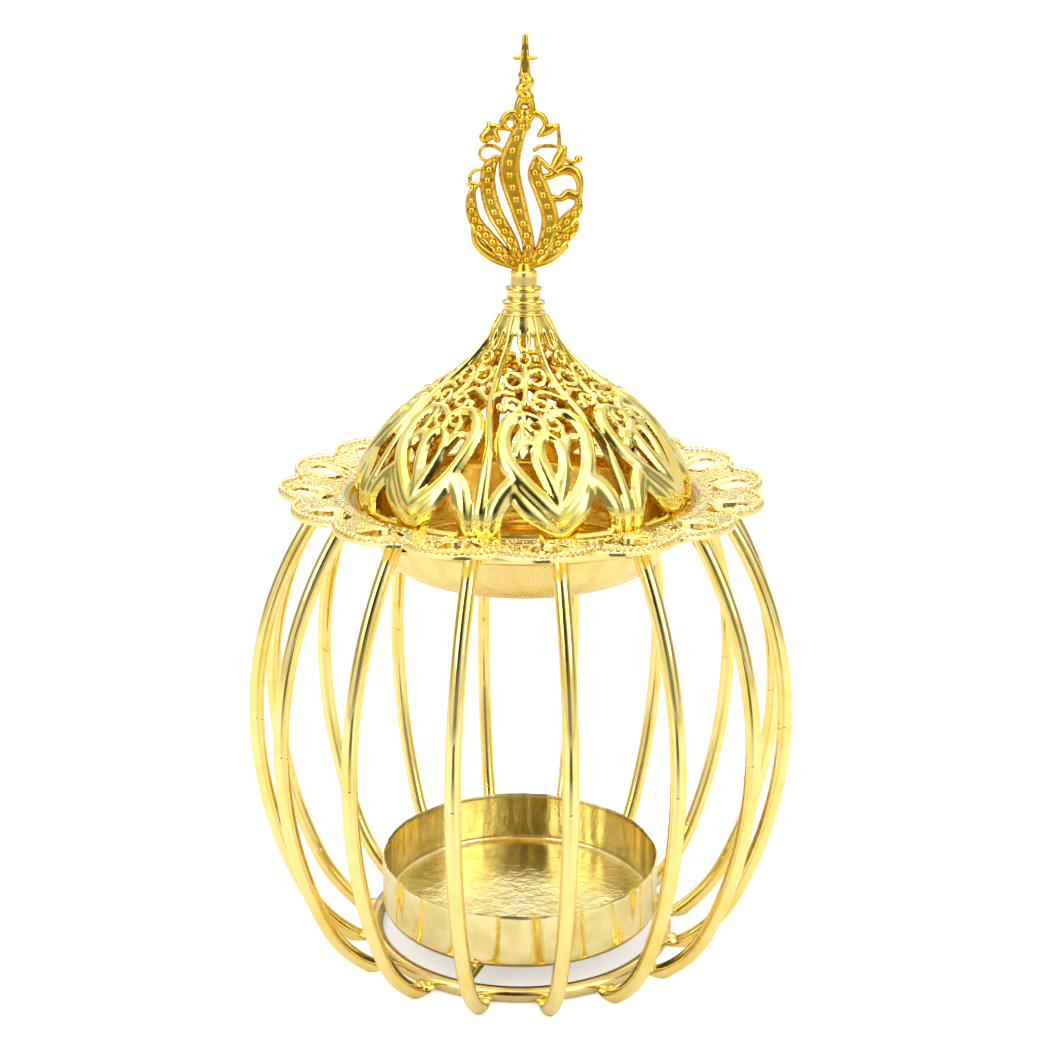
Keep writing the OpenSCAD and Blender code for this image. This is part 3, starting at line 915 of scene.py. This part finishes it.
# Outline of the turned stem: (radius, mm above its foot, radius of the bend there)
STEM_OUTLINE = [(4.1, 0, 0.12), (4.15, 0.55, 0.2), (3.75, 0.7, 0.1), (3.72, 1.6, 0.1),
                (4.1, 1.9, 0.15), (4.08, 2.5, 0.2), (3.3, 2.75, 0.12), (3.15, 3.6, 0.8),
                (3.3, 4.4, 0.12), (3.55, 4.75, 0.15), (3.4, 5.15, 0.12), (2.55, 5.3, 0.15),
                (2.5, 7.4, 1.0), (2.62, 7.9, 0.15)]


def build_stem():
    """Turned stem with rounded rings, standing on the lid's neck."""
    low, high = node_box("finial_stem")
    rings = [(radius, low[2] + up) for radius, up, _ in STEM_OUTLINE]
    corners = [(0.05, low[2]), *rings, (2.3, high[2]), (0.05, high[2])]
    profile = fillet(corners, [bend for _, _, bend in STEM_OUTLINE] + [0.12], step=0.25)
    finished(turned("stem_turned", profile, 96, STEM), "lid", "stem_brass", "finial_stem")
    repaint("lid_washer", ZINC)
    repaint("lid_screw", ZINC)


# ---------------------------------------------------------------- finial

# Openwork casting, drawn flat. Each point is (mm to the right, mm above the stem, mm wide).
# Broad bands have raised rims and beads that are a distance apart; strokes are plain and round.
BROAD_BANDS = [
    ([(0, 0, 2), (0.85, 4.5, 2.4), (-0.9, 10.9, 3.3), (-2.8, 18.2, 4), (-1.7, 23.4, 3.1),
      (0, 27, 2.2)], 2.3),
    ([(-0.5, 0.2, 1.5), (-2.3, 5, 2.4), (-5.5, 10.4, 3.1), (-6.8, 15.4, 3), (-6.5, 18.6, 2.6),
      (-5.2, 20.6, 1.2)], 2),
    ([(-1, 0.2, 1.4), (-5.2, 4.3, 2.5), (-9.1, 8.8, 2.5), (-9.9, 12.7, 2), (-9.4, 15, 1)], 1.8),
    ([(0.7, 0.2, 1.5), (3.6, 4, 2.7), (4.8, 9.5, 3.3), (3.3, 14.3, 3.2), (2, 17.6, 2.9),
      (2.3, 20.4, 1.4)], 2.2),
    ([(3.6, 2.9, 1.4), (6.2, 4.8, 2.6), (8.8, 7, 2.1), (9.9, 8.4, 1)], 1.9),
    ([(5.2, 6.6, 1.6), (7.9, 8.8, 2.9), (9.9, 11.2, 2), (10.2, 12.8, 1)], 2.0),
]
STROKES = [
    [(-1, 0.3, 1.4), (-5.6, 2.1, 2), (-8.7, 4.6, 1.6), (-9.4, 7.4, 1.2)],
    [(1.4, 0.6, 1.4), (4.7, 2.3, 2.4), (7.8, 4.2, 1.2)],
    [(5.9, 17.7, 1.1), (7.7, 18.4, 1.9), (9.3, 18, 2), (10.2, 16.3, 1.6), (10.3, 14.5, 1.3),
     (9.9, 12.6, 1.2)],
    [(4.4, 13.6, 1.2), (6.6, 13.1, 1.3), (8.2, 14, 1.9), (9.9, 13.4, 1.6)],
    [(2.6, 17, 1.3), (4.4, 17.1, 1.3), (5.9, 17.7, 1.2)],
    [(3, 20.2, 1), (4.6, 18.6, 1.1), (6.2, 17.6, 1)],
    [(5.2, 18.4, 1.1), (6.4, 20.2, 2.3), (7.3, 22.3, 1.2)],
    [(1.9, 22, 0.9), (3, 22.6, 0.7), (4.6, 22.7, 0.7), (6.4, 22.6, 0.6)],
    [(6.4, 20.8, 0.7), (6.4, 23.4, 0.75), (6.1, 26.6, 0.6)],
    [(2.6, 24.6, 0.8), (4.2, 25.6, 2), (6, 26.4, 0.7)],
    [(7.2, 20.6, 1), (8.8, 19.8, 0.8), (9.8, 20.2, 0.9)],
    [(-3.2, 21.2, 0.9), (-5.6, 22.6, 0.7), (-7.5, 22.5, 0.6), (-8.3, 21.4, 0.55),
     (-7.9, 20.3, 0.6), (-6.6, 19.8, 0.7)],
    [(-7.4, 24, 1.4), (-6.4, 25, 2.6), (-5.6, 26, 1.6), (-4, 25.8, 0.8)],
    [(-6.6, 26.8, 0.7), (-6, 25.4, 1.6), (-5, 23.8, 1.2)],
    [(-6.6, 18, 0.8), (-8.4, 18.4, 0.65), (-9.8, 17.6, 0.65), (-10.1, 16.2, 0.75),
     (-9.4, 14.8, 0.9)],
    [(-10.4, 15.6, 0.7), (-9.4, 15.7, 0.8), (-7.8, 15.4, 0.7)],
    [(0.2, 26.6, 1.5), (1.7, 28.4, 1.3), (3.2, 28, 1.2), (3.9, 26.6, 1.1), (3.2, 25.4, 1)],
    [(-0.4, 26.8, 1.5), (-1.9, 28.6, 1.2), (-3.5, 28.2, 1.1), (-4.2, 26.8, 1), (-3.4, 25.8, 0.9)],
    [(-1.4, 28.3, 1.4), (-1.2, 30, 1.4), (-0.7, 31.4, 1.4)],
    [(1.4, 28.3, 1.4), (1.2, 30, 1.4), (0.7, 31.4, 1.4)],
    [(0, 26.4, 2.4), (0, 28.4, 2.2)],
    [(-1.85, 38.4, 0.7), (1.85, 38.4, 0.7)],
]
# Rings of the casting: (mm to the right, mm above the stem, radius, width of the ring)
CAST_RINGS = [(0, 29.6, 0.95, 0.9), (-2.7, 26.6, 1.0, 0.7)]
# Round beads of the casting: the collar under the spire, and small ones at the ends of strokes
COLLAR_BEADS = [(0.25, 31.4, 1.45), (-0.35, 32.8, 1.4), (0.3, 34.2, 1.4), (-0.1, 35.3, 1.15)]
END_BEADS = [(10.0, 20.4, 0.75), (-9.4, 15.2, 0.8), (10.1, 12.6, 0.75), (-7.3, 24.2, 1.1)]
SPIRE_FROM = 35.5
CAST_CELL = 0.2


def cast_plate(foot, tip):
    """The casting without its beads, between two faces that mirror each other."""
    x, h = np.meshgrid(np.arange(-11, 11.01, CAST_CELL), np.arange(-0.4, tip + 0.2, CAST_CELL))
    parts = []
    for points, _ in BROAD_BANDS:
        d, half = band_fields(x, h, curve_through(points))
        rim = np.exp(-((d + 0.3) / 0.24) ** 2) * 0.3 * smooth_step(0.7, 1.1, half)
        body = 0.9 * rounded(np.maximum(d, -0.35), 0.35) + rim
        parts.append((d, np.where(d < 0, body, 0)))
    for points in STROKES:
        d, half = band_fields(x, h, curve_through(points))
        parts.append((d, rounded(d, half) * np.minimum(half + 0.25, 0.95)))
    for x0, h0, r, width in CAST_RINGS:
        d = np.abs(np.hypot(x - x0, h - h0) - r) - width / 2
        parts.append((d, rounded(d, width / 2) * 0.6))
    for x0, h0, r in COLLAR_BEADS + END_BEADS:
        d = np.hypot(x - x0, h - h0) - r
        parts.append((d, rounded(d, r) * r))
    spire = 0.45 + 0.52 * np.clip((tip - h) / (tip - SPIRE_FROM), 0, 1)
    d = np.maximum(np.abs(x) - spire, np.maximum(SPIRE_FROM - h, h - tip + 0.06))
    parts.append((d, np.where(d < 0, spire * rounded(np.maximum(d, -0.3), 0.3), 0)))
    kept = np.maximum(np.minimum.reduce([d for d, _ in parts]), -(h + 0.15))
    half_y = np.maximum(np.maximum.reduce([y for _, y in parts]), 0.12)

    def face(side):
        return np.stack([x, side * half_y, foot + h], -1)

    return pierced_shell("finial_plate", face(-1), face(1), kept, FINIAL, closed=False, sharp=50)


def cast_beads(foot):
    """Beads along the broad bands and on the collar, on both faces."""
    beads = []
    for points, gap in BROAD_BANDS:
        curve = curve_through(points)
        run = run_along(curve[:, :2])
        for at in np.arange(gap * 0.8, run[-1] - 0.6, gap):
            x, h, width = (np.interp(at, run, curve[:, n]) for n in range(3))
            if width > 1.35:
                beads.append((x, 0.88, h, min(0.72, width / 2 - 0.42), 0.62))
    beads += [(x, r * 0.93, h, 0.5, 0.45) for x, h, r in COLLAR_BEADS]
    places = [(np.array([x, side * y, foot + h]), (0, side, 0), r, height)
              for x, y, h, r, height in beads for side in (-1, 1)]
    return domes("finial_beads", places, FINIAL, 14, 4)


def build_finial():
    """Flat openwork casting: rimmed bands, scrolls, lobed collar and spire, on a turned root."""
    foot = node_box("finial_stem")[1][2] + 0.2
    tip = node_box("finial")[1][2] - foot
    corners = [(0.05, foot - 0.5), (2.2, foot - 0.5), (1.4, foot + 1.2), (0.05, foot + 1.6)]
    plate, beads = cast_plate(foot, tip), cast_beads(foot)
    root = turned("finial_root", fillet(corners, [0.15, 0.4], step=0.2), 48, FINIAL)
    whole = joined("finial_openwork", [plate, beads, root])
    finished(whole, "lid", "finial_casting", "finial")


# ---------------------------------------------------------------- stage, lights and camera

# Dark patches of the surround: (azimuth, elevation, half width in degrees, depth)
WORLD_PATCHES = [(0, 10, 30, 0.7), (-14, 36, 28, 0.93), (95, 8, 30, 0.62), (-100, 10, 28, 0.62),
                 (180, 25, 40, 0.45), (35, 70, 22, 0.35)]
WORLD_LEVEL = 0.92
SEEN_WORLD = 1.2
SEEN_FLOOR_GLOW = 0.5
# Soft lights, in metres and watts: name, azimuth, elevation, distance, size, power
LIGHTS = [
    ("key_left", -48, 38, 0.9, (0.5, 0.7), 2.6),
    ("key_right", 52, 36, 0.9, (0.5, 0.7), 2.2),
    ("overhead", 0, 88, 0.9, (0.8, 0.8), 3.0),
    ("back", 178, 40, 1.2, (1.2, 0.6), 3.0),
]
LIGHTS_AIM = Vector((0, 0, 0.08))
# Camera: place in metres, and how far it looks down and rolls, in radians
CAMERA_AT = (0, -0.337, 0.1844)
CAMERA_DOWN = 0.279
CAMERA_ROLL = math.radians(0.35)


def direction(azimuth, elevation):
    """Unit vector at a turn from the front and a height angle, both in degrees."""
    a, e = math.radians(azimuth), math.radians(elevation)
    return Vector((math.sin(a) * math.cos(e), -math.cos(a) * math.cos(e), math.sin(e)))


def plain(name, colour, roughness):
    """Finish of a stage piece."""
    g = Finish(name)
    g.surface.inputs["Base Color"].default_value = (*colour, 1)
    g.surface.inputs["Roughness"].default_value = roughness
    g.surface.inputs["Specular IOR Level"].default_value = 0.2
    return g


def stage_piece(name, corners, material):
    """Flat four-cornered stage piece, in metres."""
    mesh = bpy.data.meshes.new(name)
    mesh.from_pydata(corners, [], [list(range(len(corners)))])
    mesh.materials.append(material)
    made = bpy.data.objects.new(name, mesh)
    bpy.context.scene.collection.objects.link(made)
    return made


def soft_box(name, azimuth, elevation, away, size, power):
    """Rectangular studio light, facing the object."""
    out = direction(azimuth, elevation)
    data = bpy.data.lights.new(name, "AREA")
    data.shape = "RECTANGLE"
    data.size, data.size_y = size
    data.energy = power
    light = bpy.data.objects.new(name, data)
    light.location = LIGHTS_AIM + out * away
    light.rotation_euler = out.to_track_quat("Z", "Y").to_euler()
    bpy.context.scene.collection.objects.link(light)


def build_world():
    """White surround with soft grey patches, which give the polished metal something dark to show.

    The camera sees plain white in their place.
    """
    world = bpy.data.worlds.new("studio")
    bpy.context.scene.world = world
    world.use_nodes = True
    g = Graph(world.node_tree)
    g.tree.nodes.clear()
    place = g.coordinates("Generated")
    level = 1.0
    for azimuth, elevation, width, depth in WORLD_PATCHES:
        edge, middle = math.cos(math.radians(width)), math.cos(math.radians(width * 0.45))
        near = g.dot(place, direction(azimuth, elevation))
        level = g.math("MULTIPLY", level, g.spread(near, edge, middle, 1.0, 1.0 - depth))
    seen = g.math("MULTIPLY", g.add("ShaderNodeLightPath").outputs["Is Camera Ray"], SEEN_WORLD)
    background = g.add("ShaderNodeBackground")
    background.inputs["Color"].default_value = (1.0, 0.99, 0.97, 1)
    strength = g.math("MULTIPLY", g.math("MAXIMUM", level, seen), WORLD_LEVEL)
    g.link(strength, background.inputs["Strength"])
    g.link(background.outputs[0], g.add("ShaderNodeOutputWorld").inputs["Surface"])


def build_stage():
    """White floor, lights, and a flag in front that only the metal mirrors."""
    floor = plain("floor_white", (0.9, 0.9, 0.895), 0.6)
    floor.surface.inputs["Emission Color"].default_value = (1, 1, 1, 1)
    seen = floor.add("ShaderNodeLightPath").outputs["Is Camera Ray"]
    glow = floor.math("MULTIPLY", seen, SEEN_FLOOR_GLOW)
    floor.link(glow, floor.surface.inputs["Emission Strength"])
    stage_piece("floor", [(-6, -6, 0), (6, -6, 0), (6, 8, 0), (-6, 8, 0)], floor.material)
    # The flag is as bright as the floor near the object and darkens away from it.
    fading = plain("flag_fading", (0.9, 0.9, 0.9), 0.9)
    shade = fading.spread(fading.parts(fading.place)["Y"], -0.3, -0.09, 0.1, 0.85)
    fading.link(shade, fading.surface.inputs["Base Color"])
    near, far, up = -0.09, -0.9, 0.001
    corners = [(-0.035, near, up), (-0.2, far, up), (0.2, far, up), (0.035, near, up)]
    flag = stage_piece("front_flag", corners, fading.material)
    flag.visible_camera = False
    flag.visible_diffuse = False
    flag.visible_shadow = False
    flag.visible_transmission = False
    for light in LIGHTS:
        soft_box(*light)


def build_camera():
    """Camera at the photograph's angle, with the little roll and shift of its framing."""
    data = bpy.data.cameras.new("camera")
    data.lens = 61.91
    data.sensor_width = 36
    data.shift_x = -0.0012
    camera = bpy.data.objects.new("camera", data)
    camera.location = CAMERA_AT
    camera.rotation_euler = (math.pi / 2 - CAMERA_DOWN, 0, 0)
    camera.rotation_euler.rotate_axis("Z", CAMERA_ROLL)
    bpy.context.scene.collection.objects.link(camera)
    bpy.context.scene.camera = camera


build_cage()
build_cup()
build_bowl()
build_lid()
build_stem()
build_finial()
build_world()
build_stage()
build_camera()
bpy.context.scene.view_settings.view_transform = "Standard"
